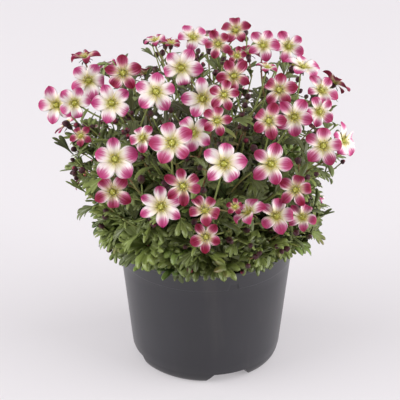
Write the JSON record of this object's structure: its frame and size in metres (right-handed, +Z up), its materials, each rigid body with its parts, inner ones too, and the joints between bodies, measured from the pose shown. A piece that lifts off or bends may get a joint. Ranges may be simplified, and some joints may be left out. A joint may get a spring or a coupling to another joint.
{
  "type": "potted saxifrage",
  "caption": "Mossy saxifrage in flower in a tapered plastic nursery pot: a house plant that stands on a shelf, sill or table.",
  "frame": {"origin": "centre of the pot's flat underside, on the pot's axis, at the surface that it stands on", "axes": "+Z up along the pot's axis, -Y the side that the picture shows, +X to its right"},
  "size_m": [0.1982, 0.2119, 0.2257],
  "materials": {
    "pot_plastic": "satin",
    "peat": "rough, damp crumbs",
    "leaf": "satin, fine hairs",
    "petal": "soft matte, cream to crimson",
    "stem": "matte, downy",
    "bud": "matte, dark maroon"
  },
  "bodies": {
    "root": {"pot": "pot_plastic", "soil": "peat", "cushion": "leaf", "spray_01": "petal", "spray_02": "petal", "spray_03": "petal", "spray_04": "petal", "spray_05": "petal", "spray_06": "petal", "spray_07": "petal", "spray_08": "petal", "spray_09": "petal", "spray_10": "petal", "spray_11": "petal", "spray_12": "petal", "spray_13": "petal", "spray_14": "petal", "spray_15": "petal", "spray_16": "petal", "spray_17": "petal", "spray_18": "petal", "spray_19": "petal", "spray_20": "petal", "spray_21": "petal", "spray_22": "petal", "spray_23": "petal", "spray_24": "petal", "spray_25": "petal", "spray_26": "petal", "spray_27": "petal", "spray_28": "petal", "spray_29": "petal", "spray_30": "petal", "shoot_01": "leaf", "shoot_02": "leaf", "shoot_03": "leaf", "shoot_04": "leaf", "shoot_05": "leaf", "shoot_06": "leaf", "shoot_07": "leaf", "shoot_08": "leaf", "shoot_09": "leaf", "shoot_10": "leaf", "shoot_11": "leaf", "shoot_12": "leaf", "shoot_13": "leaf", "shoot_14": "leaf", "shoot_15": "leaf"}
  },
  "joints": []
}
